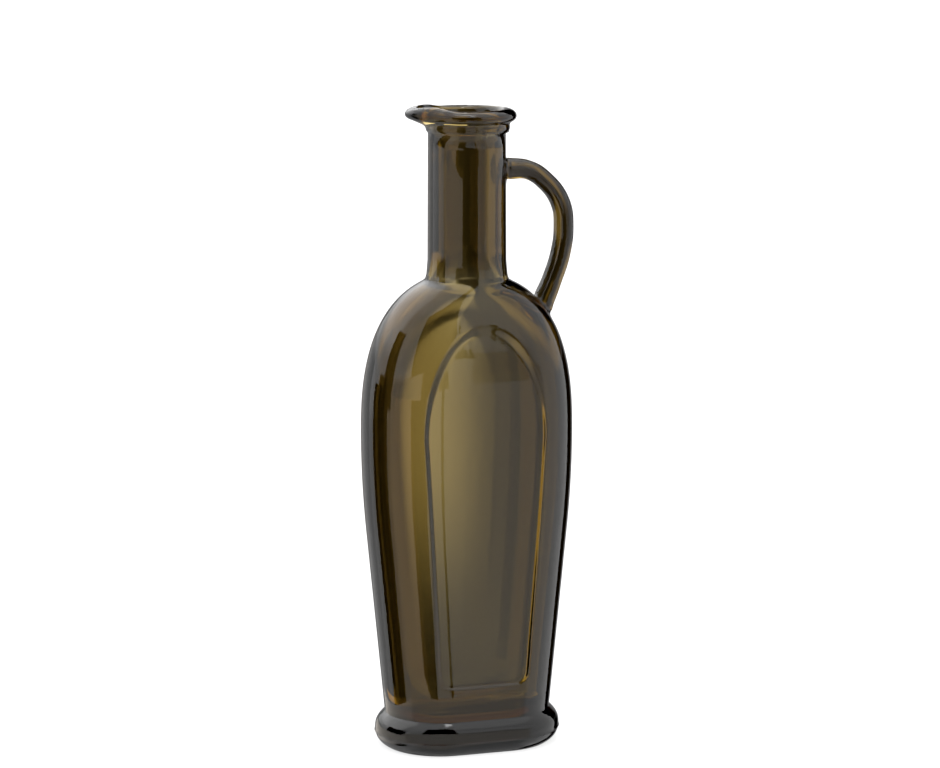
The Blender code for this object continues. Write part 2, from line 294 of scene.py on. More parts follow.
heights += steps(BODY_WIDEST_Z + SHOULDER_RISE_WIDTH, NECK_TOP_Z, NECK_STEPS)[1:]
bottom_ring = top_ring = first_ring(skin, oval_place(*outer_section(0.0), 0.0))
for z in heights[1:]:
    top_ring = next_ring(skin, top_ring, oval_place(*outer_section(z), z))
print("outside:", len(skin.faces), "faces in", len(heights), "rings")

# %% [markdown]
# A label panel with an arched top is sunk into each broad face. Its edge is a soft step in the
# real glass, less than a millimetre deep, and it shows as long thin streaks of light and dark.
# Through the glass no sharp edge of the far panel can be seen, so that one is given a wider slope.
# The faces near the edge are subdivided first, so that the step is a real, round shape. Cutting
# the panel out with a Boolean would leave a hard edge that hot glass never has.

# %% The label panels
PANEL_DEPTH = 0.9 * MM
PANEL_BOTTOM_Z = 23.0 * MM
PANEL_TOP_Z = 143.0 * MM
PANEL_HALF_WIDTH_BOTTOM = 15.2 * MM
PANEL_HALF_WIDTH_TOP = 20.5 * MM
PANEL_SPRING_Z = 107.5 * MM
PANEL_CORNER = 4.0 * MM
SIDE_EDGE_WIDTH = 1.5 * MM
ARCH_EDGE_WIDTH = 3.6 * MM
ARCH_SOFT_FROM_Z = 112.0 * MM
ARCH_SOFT_TO_Z = 134.0 * MM
BACK_EDGE_WIDTH = 6.0 * MM
PANEL_CUTS = 4
BROAD_FACES_FROM_Y = 10.0 * MM
ROUNDED_FROM_Z = 15.0 * MM
ROUNDED_TO_Z = 150.0 * MM


def panel_distance(x, z):
    """How far a point of the broad face lies outside the panel's outline, or inside if below 0."""
    x = abs(x)
    if z > PANEL_SPRING_Z:
        across = x / PANEL_HALF_WIDTH_TOP
        up = (z - PANEL_SPRING_Z) / (PANEL_TOP_Z - PANEL_SPRING_Z)
        level = max(1e-6, math.hypot(across, up))
        slope = math.hypot(across / PANEL_HALF_WIDTH_TOP, up / (PANEL_TOP_Z - PANEL_SPRING_Z)) / level
        return (level - 1) / slope if slope > 0 else -PANEL_HALF_WIDTH_TOP
    run = (PANEL_HALF_WIDTH_TOP - PANEL_HALF_WIDTH_BOTTOM) / (PANEL_SPRING_Z - PANEL_BOTTOM_Z)
    side = (x - PANEL_HALF_WIDTH_TOP + run * (PANEL_SPRING_Z - z)) * math.cos(math.atan(run))
    low = PANEL_BOTTOM_Z - z
    corner = math.hypot(max(0.0, side + PANEL_CORNER), max(0.0, low + PANEL_CORNER)) - PANEL_CORNER
    return min(max(side, low), -PANEL_CORNER) if corner == -PANEL_CORNER else corner


def near_panel_edge(face):
    middle = face.calc_center_median()
    return abs(panel_distance(middle.x, middle.z)) < SIDE_EDGE_WIDTH and abs(middle.y) > BROAD_FACES_FROM_Y


def edge_width(place):
    """The front step is crisp at its sides and softer round the arch. The back step is soft."""
    if place.y > 0:
        return BACK_EDGE_WIDTH
    softness = smooth_step((place.z - ARCH_SOFT_FROM_Z) / (ARCH_SOFT_TO_Z - ARCH_SOFT_FROM_Z))
    return SIDE_EDGE_WIDTH + (ARCH_EDGE_WIDTH - SIDE_EDGE_WIDTH) * softness


edge_faces = [face for face in skin.faces if near_panel_edge(face)]
edge_lines = list({edge for face in edge_faces for edge in face.edges})
bmesh.ops.subdivide_edges(skin, edges=edge_lines, cuts=PANEL_CUTS, use_grid_fill=True)
for vert in skin.verts:
    if ROUNDED_FROM_Z < vert.co.z < ROUNDED_TO_Z:
        vert.co = oval_place(*outer_section(vert.co.z), vert.co.z)(math.atan2(vert.co.y, vert.co.x))
bmesh.ops.recalc_face_normals(skin, faces=skin.faces[:])
skin.normal_update()
pressed = {}
for vert in skin.verts:
    if abs(vert.co.y) > BROAD_FACES_FROM_Y:
        share = smooth_step(0.5 - panel_distance(vert.co.x, vert.co.z) / edge_width(vert.co))
        if share > 0:
            outward = vert.normal if vert.normal.dot(vert.co * Vector((1, 1, 0))) > 0 else -vert.normal
            pressed[vert] = vert.co - outward * PANEL_DEPTH * share
for vert, place in pressed.items():
    vert.co = place
print("panel:", len(edge_faces), "faces refined,", len(pressed), "points pressed in")

# %% [markdown]
# At the top the neck gets a collar, and over it the lip: a round bead, pulled out on one side
# into a spout with a raised ridge at each side of the channel. The ring goes on over the bead and
# down into the mouth, so the lip has its true section and the glass has a real thickness.

# %% Collar, lip and mouth
COLLAR_RADIUS = 14.2 * MM
COLLAR_FOOT_RADIUS = 13.9 * MM
COLLAR_FOOT_Z = 206.6 * MM
COLLAR_TOP_Z = 209.2 * MM
COLLAR_PULLS = (-1.4 * MM, -1.0 * MM, 0.8 * MM)
LIP_RING_RADIUS = 13.0 * MM
LIP_OUTER_WIDTH = 3.4 * MM
LIP_INNER_WIDTH = 1.8 * MM
LIP_HALF_HEIGHT = 2.3 * MM
LIP_MIDDLE_Z = 211.9 * MM
LIP_FROM_TURN = math.radians(-60.0)
LIP_TO_TURN = math.radians(165.0)
LIP_STEPS = 36
SPOUT_REACH = 4.65 * MM
SPOUT_MIDDLE_Z = 212.6 * MM
SPOUT_HALF_HEIGHT = 1.9 * MM
SPOUT_INNER_REACH = 0.8
SPOUT_CHANNEL_REACH = 0.75
RIDGE_LIFT = 1.0 * MM
THROAT_DEPTH = 9.0 * MM
THROAT_STEPS = 14
BORE_RADIUS = 9.5 * MM

collar_radii = (COLLAR_FOOT_RADIUS, COLLAR_RADIUS, COLLAR_RADIUS)
collar_levels = (COLLAR_FOOT_Z, (COLLAR_FOOT_Z + COLLAR_TOP_Z) / 2, COLLAR_TOP_Z)
for radius, z, pull in zip(collar_radii, collar_levels, COLLAR_PULLS):
    top_ring = next_ring(skin, top_ring, lip_place(radius, z, z, pull, 0.0))
for turn in steps(LIP_FROM_TURN, LIP_TO_TURN, LIP_STEPS):
    out, up = math.cos(turn), math.sin(turn)
    bead = lip_place(
        LIP_RING_RADIUS + (LIP_OUTER_WIDTH if out > 0 else LIP_INNER_WIDTH) * out,
        LIP_MIDDLE_Z + LIP_HALF_HEIGHT * up,
        SPOUT_MIDDLE_Z + SPOUT_HALF_HEIGHT * up,
        SPOUT_REACH * (SPOUT_INNER_REACH + (1 - SPOUT_INNER_REACH) * (0.5 + 0.5 * out)),
        RIDGE_LIFT * (0.5 + 0.5 * up),
    )
    top_ring = next_ring(skin, top_ring, bead)
for share in steps(0.0, 1.0, THROAT_STEPS)[1:]:
    z = LIP_MIDDLE_Z - THROAT_DEPTH * share
    wide = 0.5 + 0.5 * math.cos(math.pi * share)
    radius = BORE_RADIUS + (LIP_RING_RADIUS - LIP_INNER_WIDTH - BORE_RADIUS) * wide
    channel = SPOUT_CHANNEL_REACH * SPOUT_REACH * wide
    top_ring = next_ring(skin, top_ring, lip_place(radius, z, z, channel, 0.0))
print("with lip and mouth:", len(skin.faces), "faces")

# %% [markdown]
# The inside follows the outside at the thickness of the wall, about three and a half millimetres,
# and a thicker floor with round corners. It matters as much as the outside, because dark glass
# gets its colour from how much of it the light goes through.

# %% The inside and the floor
BODY_WALL = 3.4 * MM
SHOULDER_WALL = 3.6 * MM
CAVITY_FLOOR_Z = 8.0 * MM
CAVITY_CORNER = 9.0 * MM
BORE_FILLET = 12.0 * MM
BORE_FOOT_Z = 165.3 * MM
CAVITY_STEPS = 40
CORNER_STEPS = 12
CAVITY_FLOOR_RINGS = (0.75, 0.5, 0.25, 0.05)  # shares of the floor's size


def cavity_section(z):
    """Half width and half depth of the inside, with round corners above its floor."""
    width = dome(z, BODY_HALF_WIDTH - BODY_WALL, SHOULDER_RISE_WIDTH - SHOULDER_WALL)
    depth = dome(z, BODY_HALF_DEPTH - BODY_WALL, SHOULDER_RISE_DEPTH - SHOULDER_WALL)
    width -= WIDTH_TAPER * taper_loss(z)
    depth -= DEPTH_TAPER * taper_loss(z)
    below = CAVITY_CORNER - (z - CAVITY_FLOOR_Z)
    if below > 0:
        corner = CAVITY_CORNER - math.sqrt(max(0.0, CAVITY_CORNER**2 - below**2))
        return width - corner, depth - corner
    return smooth_max(width, BORE_RADIUS, BORE_FILLET), smooth_max(depth, BORE_RADIUS, BORE_FILLET)


throat_foot = LIP_MIDDLE_Z - THROAT_DEPTH
cavity_corner_top = CAVITY_FLOOR_Z + CAVITY_CORNER
down = steps(throat_foot, BORE_FOOT_Z, NECK_STEPS)[1:]
down += [
    BODY_WIDEST_Z + (SHOULDER_RISE_WIDTH - SHOULDER_WALL) * math.sin(t)
    for t in steps(math.pi / 2, 0.0, SHOULDER_STEPS)
]
down += steps(BODY_WIDEST_Z, cavity_corner_top, CAVITY_STEPS)[1:]
down += [
    cavity_corner_top - CAVITY_CORNER * math.sin(t) for t in steps(0.0, math.pi / 2, CORNER_STEPS)[1:]
]
for z in down:
    top_ring = next_ring(skin, top_ring, oval_place(*cavity_section(z), z))
floor_width, floor_depth = cavity_section(CAVITY_FLOOR_Z)
for share in CAVITY_FLOOR_RINGS:
    floor_ring = oval_place(floor_width * share, floor_depth * share, CAVITY_FLOOR_Z)
    top_ring = next_ring(skin, top_ring, floor_ring)
print("with the inside:", len(skin.faces), "faces")

# %% [markdown]
# Under the foot a flat ring carries the bottle, and within it the base is pushed up a little, as
# on any blown bottle, so that it can't rock on a bulge. The last opening at each end of the skin
# is filled by an operator, which closes the glass.

# %% The underside
BEARING_WIDTH = 2.8 * MM
PUSH_UP = 2.0 * MM
PUSH_UP_SLOPE = 5.0 * MM
UNDERSIDE_STEPS = 14
PUSH_UP_RINGS = (0.7, 0.4, 0.1)  # shares of the push-up's flat middle
base_width, base_depth = foot_section(0.0)
for share in steps(0.0, 1.0, UNDERSIDE_STEPS):
    inset = BEARING_WIDTH + PUSH_UP_SLOPE * share
    height = PUSH_UP * (0.5 - 0.5 * math.cos(math.pi * share))
    bottom_ring = next_ring(skin, bottom_ring, oval_place(base_width - inset, base_depth - inset, height))
middle_width = base_width - BEARING_WIDTH - PUSH_UP_SLOPE
middle_depth = base_depth - BEARING_WIDTH - PUSH_UP_SLOPE
for share in PUSH_UP_RINGS:
    middle_ring = oval_place(middle_width * share, middle_depth * share, PUSH_UP)
    bottom_ring = next_ring(skin, bottom_ring, middle_ring)
open_edges = [edge for edge in skin.edges if edge.is_boundary]
bmesh.ops.holes_fill(skin, edges=open_edges, sides=0)
bmesh.ops.recalc_face_normals(skin, faces=skin.faces[:])
print("open edges left:", sum(edge.is_boundary for edge in skin.edges))

# %% [markdown]
# The handle is a rod of soft glass that was laid on the neck, drawn round in a loop and pressed on
# the shoulder, so it swells a little at both ends. A curve with a bevel sweeps it along its route.
# Its ends are trimmed by a copy of the body drawn in by nearly half a wall, so that they stop
# inside the glass, and then it is joined to the skin, so no faces are left inside the glass.

# %% The handle's rod
HANDLE_RADIUS = 3.25 * MM
HANDLE_DEPTH_RATIO = 1.17
HANDLE_ROOT_DEPTH = 1.5 * MM
HANDLE_ROUTE = (
    (9.7, 193.8, 1.45),
    (15.0, 193.8, 1.10),
    (21.2, 193.2, 0.98),
    (26.8, 189.8, 0.98),
    (32.7, 181.9, 1.00),
    (33.9, 173.6, 1.02),
    (32.8, 164.9, 1.02),
    (29.8, 156.0, 1.02),
    (26.9, 149.4, 1.12),
    (23.9, 143.2, 1.45),
)  # x and z in millimetres, then the share of HANDLE_RADIUS
HANDLE_STEPS = 12
HANDLE_BEVEL_RESOLUTION = 8
WELD_DISTANCE = 0.001 * MM
TRIM_FROM_Z = 60.0 * MM
TRIM_TO_Z = 200.0 * MM
TRIM_STEPS = 70


def linked_object(name, mesh):
    """Turns a bmesh into an object of the scene."""
    data = bpy.data.meshes.new(name)
    mesh.to_mesh(data)
    mesh.free()
    made = bpy.data.objects.new(name, data)
    bpy.context.scene.collection.objects.link(made)
    return made


def shown_mesh(item, name):
    """A mesh of the object as its modifiers leave it."""
    bpy.context.view_layer.update()
    data = bpy.data.meshes.new_from_object(item.evaluated_get(bpy.context.evaluated_depsgraph_get()))
    data.name = name
    data.transform(item.matrix_world)
    return data


def handle_rod():
    """The rod as a closed mesh, with its two caps welded on."""
    curve = bpy.data.curves.new("handle_route", "CURVE")
    curve.dimensions = "3D"
    curve.bevel_depth = HANDLE_RADIUS
    curve.bevel_resolution = HANDLE_BEVEL_RESOLUTION
    curve.resolution_u = HANDLE_STEPS
    curve.use_fill_caps = True
    spline = curve.splines.new("BEZIER")
    spline.bezier_points.add(len(HANDLE_ROUTE) - 1)
    for point, (x, z, share) in zip(spline.bezier_points, HANDLE_ROUTE):
        point.co = (x * MM, 0.0, z * MM)
        point.handle_left_type = point.handle_right_type = "AUTO"
        point.radius = share
    route = bpy.data.objects.new("handle_route", curve)
    route.scale = (1.0, HANDLE_DEPTH_RATIO, 1.0)
    bpy.context.scene.collection.objects.link(route)
    data = shown_mesh(route, "handle")
    bpy.data.objects.remove(route)
    mesh = bmesh.new()
    mesh.from_mesh(data)
    bmesh.ops.remove_doubles(mesh, verts=mesh.verts[:], dist=WELD_DISTANCE)
    bmesh.ops.recalc_face_normals(mesh, faces=mesh.faces[:])
    return linked_object("handle", mesh)


def trim_body():
    """The outer shape drawn in by nearly half a wall, as a solid that trims the handle's ends."""
    mesh = bmesh.new()
    levels = steps(TRIM_FROM_Z, TRIM_TO_Z, TRIM_STEPS)
    ring = first_ring(mesh, oval_place(*body_section(levels[0], HANDLE_ROOT_DEPTH), levels[0]))
    for z in levels[1:]:
        ring = next_ring(mesh, ring, oval_place(*body_section(z, HANDLE_ROOT_DEPTH), z))
    bmesh.ops.holes_fill(mesh, edges=[edge for edge in mesh.edges if edge.is_boundary], sides=0)
    bmesh.ops.recalc_face_normals(mesh, faces=mesh.faces[:])
    return linked_object("trim_body", mesh)


def combine(target, operation, tool):
    """Applies one Boolean to the target and removes the tool."""
    modifier = target.modifiers.new(operation.lower(), "BOOLEAN")
    modifier.operation = operation
    modifier.solver = "EXACT"
    modifier.object = tool
    data = shown_mesh(target, target.name)
    target.modifiers.clear()
    target.data = data
    bpy.data.objects.remove(tool)


bottle = linked_object("glass_bottle", skin)
handle = handle_rod()
combine(handle, "DIFFERENCE", trim_body())
combine(bottle, "UNION", handle)
print("bottle with handle:", len(bottle.data.polygons), "faces")

# %% [markdown]
# Where the hot rod met the bottle the glass flowed together, so there is no sharp line. The points
# near the seam are smoothed a few times, which rounds the corner into a small fillet.

# %% Melting the handle's ends into the glass
ROOT_PLACES = ((13.4 * MM, 193.8 * MM), (26.5 * MM, 147.5 * MM))
ROOT_REACH = 8.0 * MM
MELT_BELOW_SKIN = -0.6 * MM
MELT_ABOVE_SKIN = 1.6 * MM
MELT_ROUNDS = 6


def melt_roots(item):
    mesh = bmesh.new()
    mesh.from_mesh(item.data)
    roots = []
    for x, z in ROOT_PLACES:
        centre = Vector((x, 0.0, z))
        for vert in mesh.verts:
            away = (vert.co - centre).length
            bearing = math.atan2(vert.co.y, vert.co.x)
            skin_x, skin_y, _ = oval_place(*body_section(vert.co.z), vert.co.z)(bearing)
            proud = math.hypot(vert.co.x, vert.co.y) - math.hypot(skin_x, skin_y)
            if away < ROOT_REACH and MELT_BELOW_SKIN < proud < MELT_ABOVE_SKIN:
                roots.append(vert)
    for _ in range(MELT_ROUNDS):
        bmesh.ops.smooth_vert(
            mesh, verts=roots, factor=0.5, use_axis_x=True, use_axis_y=True, use_axis_z=True
        )
    mesh.to_mesh(item.data)
    mesh.free()
    return len(roots)


print("melted", melt_roots(bottle), "points")
bottle.data.shade_smooth()
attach(bottle, "root")
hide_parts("bottle")

# %% [markdown]
# The waves are those of a mould's wall, a few hundredths of a millimetre high and too faint to see
# in the outline, so they are only bumps. The cords are fine darker streaks that hot glass draws
# out along the body. The smears are what fingers leave. All three are kept so weak that they show
# only where light glances off the glass.

# %% Faint waves, smears and cords as a node group
SMEAR_SCALE = 45.0
SMEAR_STRETCH = 0.35
SMEAR_RANGE = (0.52, 0.72)
CORD_SCALE = 260.0
CORD_STRETCH = 0.05
CORD_RANGE = (0.45, 0.75)
CORD_TINT = (0.55, 0.5, 0.35, 1.0)
WAVE_SCALE = 42.0
WAVE_STRETCH = 0.4
RIPPLE_SCALE = 320.0
RIPPLE_STRETCH = 0.6
RIPPLE_SHARE = 0.08


def glass_surface_group():
    group = bpy.data.node_groups.new("glass_surface", "ShaderNodeTree")
    group.interface.new_socket(name="Position", in_out="INPUT", socket_type="NodeSocketVector")
    for name, value in (("Smoothest", 0.01), ("Smeared", 0.035), ("Cord Strength", 0.05)):
        made = group.interface.new_socket(name=name, in_out="INPUT", socket_type="NodeSocketFloat")
        made.default_value = value
    group.interface.new_socket(name="Tint", in_out="OUTPUT", socket_type="NodeSocketColor")
    group.interface.new_socket(name="Roughness", in_out="OUTPUT", socket_type="NodeSocketFloat")
    group.interface.new_socket(name="Height", in_out="OUTPUT", socket_type="NodeSocketFloat")
    given = group.nodes.new("NodeGroupInput").outputs
    result = group.nodes.new("NodeGroupOutput").inputs

    def noise(scale, detail, stretch):
        """A noise in the bottle's own space, stretched along its height."""
        scaled = group.nodes.new("ShaderNodeVectorMath")
        scaled.operation = "MULTIPLY"
        group.links.new(given["Position"], scaled.inputs[0])
        scaled.inputs[1].default_value = (1.0, 1.0, stretch)
        texture = group.nodes.new("ShaderNodeTexNoise")
        texture.inputs["Scale"].default_value = scale
        texture.inputs["Detail"].default_value = detail
        group.links.new(scaled.outputs["Vector"], texture.inputs["Vector"])
        return texture.outputs["Fac"]

    def between(value, span, first, last):
        """Goes softly from first to last while the noise goes over the span."""
        node = group.nodes.new("ShaderNodeMapRange")
        node.interpolation_type = "SMOOTHSTEP"
        group.links.new(value, node.inputs["Value"])
        node.inputs["From Min"].default_value, node.inputs["From Max"].default_value = span
        for socket, end_value in (("To Min", first), ("To Max", last)):
            if isinstance(end_value, float):
                node.inputs[socket].default_value = end_value
            else:
                group.links.new(end_value, node.inputs[socket])
        return node.outputs["Result"]

    smears = noise(SMEAR_SCALE, 3.0, SMEAR_STRETCH)
    smears = between(smears, SMEAR_RANGE, given["Smoothest"], given["Smeared"])
    group.links.new(smears, result["Roughness"])
    cords = between(noise(CORD_SCALE, 1.0, CORD_STRETCH), CORD_RANGE, 0.0, given["Cord Strength"])
    tint = group.nodes.new("ShaderNodeMix")
    tint.data_type = "RGBA"
    group.links.new(cords, tint.inputs["Factor"])
    tint.inputs["A"].default_value = (1.0, 1.0, 1.0, 1.0)
    tint.inputs["B"].default_value = CORD_TINT
    group.links.new(tint.outputs["Result"], result["Tint"])
    waves = group.nodes.new("ShaderNodeMath")
    waves.operation = "MULTIPLY_ADD"
    group.links.new(noise(RIPPLE_SCALE, 1.0, RIPPLE_STRETCH), waves.inputs[0])
    waves.inputs[1].default_value = RIPPLE_SHARE
    group.links.new(noise(WAVE_SCALE, 1.0, WAVE_STRETCH), waves.inputs[2])
    group.links.new(waves.outputs[0], result["Height"])
    return group


glass_surface = glass_surface_group()
print("glass surface group:", len(glass_surface.nodes), "nodes")

# %% [markdown]
# The glass is dark only because it is thick: it absorbs light all the way through, blue most and
# red least, which is why thin places look olive-yellow and thick ones nearly black. So the colour
# is in a volume that absorbs, and the surface itself is clear. A coloured surface would be simpler
# but would give the same tint to a thin rim and a thick floor.

# %% The glass
GLASS_IOR = 1.5
ABSORPTION_DENSITY = 520.0  # for each metre
ABSORPTION_COLOUR = (0.618, 0.486, 0.0, 1.0)
WAVE_HEIGHT = 0.12 * MM

glass = bpy.data.materials.new("olive_glass")
glass.use_nodes = True
nodes, links = glass.node_tree.nodes, glass.node_tree.links
shader = nodes["Principled BSDF"]
shader.inputs["Metallic"].default_value = 0.0
shader.inputs["IOR"].default_value = GLASS_IOR
shader.inputs["Transmission Weight"].default_value = 1.0
surface = nodes.new("ShaderNodeGroup")
surface.node_tree = glass_surface
links.new(nodes.new("ShaderNodeTexCoord").outputs["Object"], surface.inputs["Position"])
links.new(surface.outputs["Tint"], shader.inputs["Base Color"])
links.new(surface.outputs["Roughness"], shader.inputs["Roughness"])
bump = nodes.new("ShaderNodeBump")
bump.inputs["Strength"].default_value = 1.0
bump.inputs["Distance"].default_value = WAVE_HEIGHT
links.new(surface.outputs["Height"], bump.inputs["Height"])
links.new(bump.outputs["Normal"], shader.inputs["Normal"])
absorption = nodes.new("ShaderNodeVolumeAbsorption")
absorption.inputs["Color"].default_value = ABSORPTION_COLOUR
absorption.inputs["Density"].default_value = ABSORPTION_DENSITY
links.new(absorption.outputs["Volume"], nodes["Material Output"].inputs["Volume"])
bottle.data.materials.clear()
bottle.data.materials.append(glass)
print("material:", glass.name)

# %% [markdown]
# The bottle stands on a wide pale floor. The floor glows a little, as a light table does, so the
# shadow under the bottle stays faint. Glass mirrors everything round it, and a floor right under
# it would wipe out the dark reflections that show its shape, so the floor is left out of them.

# %% Floor
FLOOR_HALF = 6.0
FLOOR_GAP = 0.02 * MM  # so that the floor and the bottle's bearing ring don't share a plane
FLOOR_TINT = (0.5, 0.5, 0.5, 1.0)
FLOOR_ROUGHNESS = 0.9
FLOOR_GLOW = 0.72

floor_mesh = bmesh.new()
bmesh.ops.create_grid(floor_mesh, x_segments=1, y_segments=1, size=FLOOR_HALF)
bmesh.ops.translate(floor_mesh, verts=floor_mesh.verts[:], vec=(0.0, 0.0, -FLOOR_GAP))
floor = linked_object("floor", floor_mesh)
floor.visible_glossy = False
floor.visible_transmission = False
paper = bpy.data.materials.new("pale_floor")
paper.use_nodes = True
paper_shader = paper.node_tree.nodes["Principled BSDF"]
paper_shader.inputs["Base Color"].default_value = FLOOR_TINT
paper_shader.inputs["Roughness"].default_value = FLOOR_ROUGHNESS
paper_shader.inputs["Specular IOR Level"].default_value = 0.0
paper_shader.inputs["Emission Color"].default_value = (1.0, 1.0, 1.0, 1.0)
paper_shader.inputs["Emission Strength"].default_value = FLOOR_GLOW
floor.data.materials.append(paper)
print("floor:", round(2 * FLOOR_HALF), "m wide,", round(FLOOR_GAP / MM, 2), "mm under the foot")

# %% [markdown]
# The studio is a tent of white cloth with narrow openings. What the glass mirrors is worked out
# from the direction of the mirrored ray: its turn round the bottle, counted from the camera's side
# and positive to the right, and its height above the horizon. Each patch of the tent, bright or
# dark, is one small node group that covers a range of both with its own brightness.

# %% One patch of the studio as a node group
def group_socket(group, name, direction, value=0.0):
    made = group.interface.new_socket(name=name, in_out=direction, socket_type="NodeSocketFloat")
    if direction == "INPUT":
        made.default_value = value


def soft_rise(group, value, edge, soft):
    """0 before the edge and 1 after it, with a soft change between."""
    half = group.nodes.new("ShaderNodeMath")
    half.operation = "MULTIPLY"
    group.links.new(soft, half.inputs[0])
    half.inputs[1].default_value = 0.5
    low = group.nodes.new("ShaderNodeMath")
    low.operation = "SUBTRACT"
    group.links.new(edge, low.inputs[0])
    group.links.new(half.outputs[0], low.inputs[1])
    high = group.nodes.new("ShaderNodeMath")
    high.operation = "ADD"
    group.links.new(edge, high.inputs[0])
    group.links.new(half.outputs[0], high.inputs[1])
    rise = group.nodes.new("ShaderNodeMapRange")
    rise.interpolation_type = "SMOOTHSTEP"
    group.links.new(value, rise.inputs["Value"])
    group.links.new(low.outputs[0], rise.inputs["From Min"])
    group.links.new(high.outputs[0], rise.inputs["From Max"])
    return rise.outputs["Result"]


def two_values(group, operation, one, other):
    node = group.nodes.new("ShaderNodeMath")
    node.operation = operation
    group.links.new(one, node.inputs[0])
    group.links.new(other, node.inputs[1])
    return node.outputs[0]


def studio_patch_group():
    group = bpy.data.node_groups.new("studio_patch", "ShaderNodeTree")
    for name in ("Light", "Turn", "Rise", "Turn From", "Turn To", "Rise From", "Rise To"):
        group_socket(group, name, "INPUT")
    group_socket(group, "Edge", "INPUT", 2.0)
    group_socket(group, "Brightness", "INPUT", 1.0)
    group_socket(group, "Light", "OUTPUT")
    given = group.nodes.new("NodeGroupInput").outputs
    inside = None
    for value, low, high in (("Turn", "Turn From", "Turn To"), ("Rise", "Rise From", "Rise To")):
        after = soft_rise(group, given[value], given[low], given["Edge"])
        beyond = soft_rise(group, given[value], given[high], given["Edge"])
        between = two_values(group, "SUBTRACT", after, beyond)
        inside = between if inside is None else two_values(group, "MULTIPLY", inside, between)
    blend = group.nodes.new("ShaderNodeMix")
    blend.data_type = "FLOAT"
    group.links.new(inside, blend.inputs["Factor"])
    group.links.new(given["Light"], blend.inputs["A"])
    group.links.new(given["Brightness"], blend.inputs["B"])
    result = group.nodes.new("NodeGroupOutput")
    group.links.new(blend.outputs["Result"], result.inputs["Light"])
    return group


studio_patch = studio_patch_group()
print("studio patch group:", len(studio_patch.nodes), "nodes")

# %% [markdown]
# The tent, patch by patch. Later patches cover earlier ones. "front" turns are counted from the
# camera's side, "behind" turns from straight behind the bottle, both to the right. The dark slits
# and cards are as important as the bright cloth, because they draw the long dark streaks that show
# how the glass is rounded. The cloth in front on the left, low down, is lit by a warmer light.

# %% The tent round the bottle
TENT_BRIGHTNESS = 0.70
TENT_PATCHES = (
    ("upper tent", "front", (-200, 200), (2, 95), 12, 1.2),
    ("left cloth", "front", (-130, -48), (-60, 12), 6, 1.0),
    ("left cloth, higher", "front", (-200, -50), (-8, 50), 6, 1.35),
    ("overhead cloth", "front", (-200, 200), (48, 95), 6, 1.6),
    ("zenith cloth", "front", (-200, 200), (80, 97), 4, 4.5),
    ("upper left cloth", "front", (-200, -80), (16, 66), 12, 2.5),
    ("right cloth", "front", (66, 134), (-60, 45), 8, 1.15),
    ("front cloth, left", "front", (-66, -3), (-27, 10), 5, 1.5),
    ("front cloth, right", "front", (-3, 60), (-27, 10), 5, 0.95),
    ("left slit, high", "front", (-86, -65), (2, 30), 2, 0.0),
    ("left slit, middle", "front", (-97, -66), (-5, 5), 2, 0.0),
    ("right rear card", "front", (134, 190), (-60, 0), 2, 0.0),
    ("right rear card, high", "front", (132, 190), (0, 35), 2, 0.0),
    ("left rear", "behind", (-60, -24), (-60, 5), 4, 0.66),
    ("far backdrop", "behind", (-24, 24), (-60, 8), 4, 0.3),
    ("small lamp", "front", (22, 44), (66, 78), 3, 7.0),
)  # name, counted from, turn from and to, rise from and to, width of its edge (degrees), brightness
WARM_TURNS = (-72, -3)
WARM_RISES = (-30, 6)
WARM_EDGE = 8
WARM_TINT = (1.0, 0.8, 0.57, 1.0)

world = bpy.data.worlds.new("studio")
world.use_nodes = True
bpy.context.scene.world = world
air = world.node_tree
background = air.nodes["Background"]
direction = air.nodes.new("ShaderNodeTexCoord").outputs["Generated"]
towards_camera = -level_ahead


def part_along(axis):
    """How far the ray's direction runs along one axis."""
    node = air.nodes.new("ShaderNodeVectorMath")
    node.operation = "DOT_PRODUCT"
    air.links.new(direction, node.inputs[0])
    node.inputs[1].default_value = axis
    return node.outputs["Value"]


def in_degrees(operation, *values):
    node = air.nodes.new("ShaderNodeMath")
    node.operation = operation
    for k, value in enumerate(values):
        air.links.new(value, node.inputs[k])
    turned = air.nodes.new("ShaderNodeMath")
    turned.operation = "DEGREES"
    air.links.new(node.outputs[0], turned.inputs[0])
    return turned.outputs[0]


aside = part_along(camera_right)
turns = {
    "front": in_degrees("ARCTAN2", aside, part_along(towards_camera)),
    "behind": in_degrees("ARCTAN2", aside, part_along(level_ahead)),
}
rise = in_degrees("ARCSINE", part_along((0.0, 0.0, 1.0)))
tent = air.nodes.new("ShaderNodeValue")
tent.outputs[0].default_value = TENT_BRIGHTNESS
light = tent.outputs[0]


def add_patch(name, counted_from, turn_range, rise_range, edge, brightness):
    """One patch of cloth or card. What it covers is linked to its Light input."""
    patch = air.nodes.new("ShaderNodeGroup")
    patch.node_tree = studio_patch
    patch.label = name
    air.links.new(turns[counted_from], patch.inputs["Turn"])
    air.links.new(rise, patch.inputs["Rise"])
    patch.inputs["Turn From"].default_value, patch.inputs["Turn To"].default_value = turn_range
    patch.inputs["Rise From"].default_value, patch.inputs["Rise To"].default_value = rise_range
    patch.inputs["Edge"].default_value = edge
    patch.inputs["Brightness"].default_value = brightness
    return patch


for row in TENT_PATCHES:
    patch = add_patch(*row)
    air.links.new(light, patch.inputs["Light"])
    light = patch.outputs["Light"]
warmth = add_patch("warm front", "front", WARM_TURNS, WARM_RISES, WARM_EDGE, 1.0).outputs["Light"]
print("tent patches:", len(TENT_PATCHES))

# %% [markdown]
# The camera itself, and the floor's soft light, see a plain white room instead of the tent.

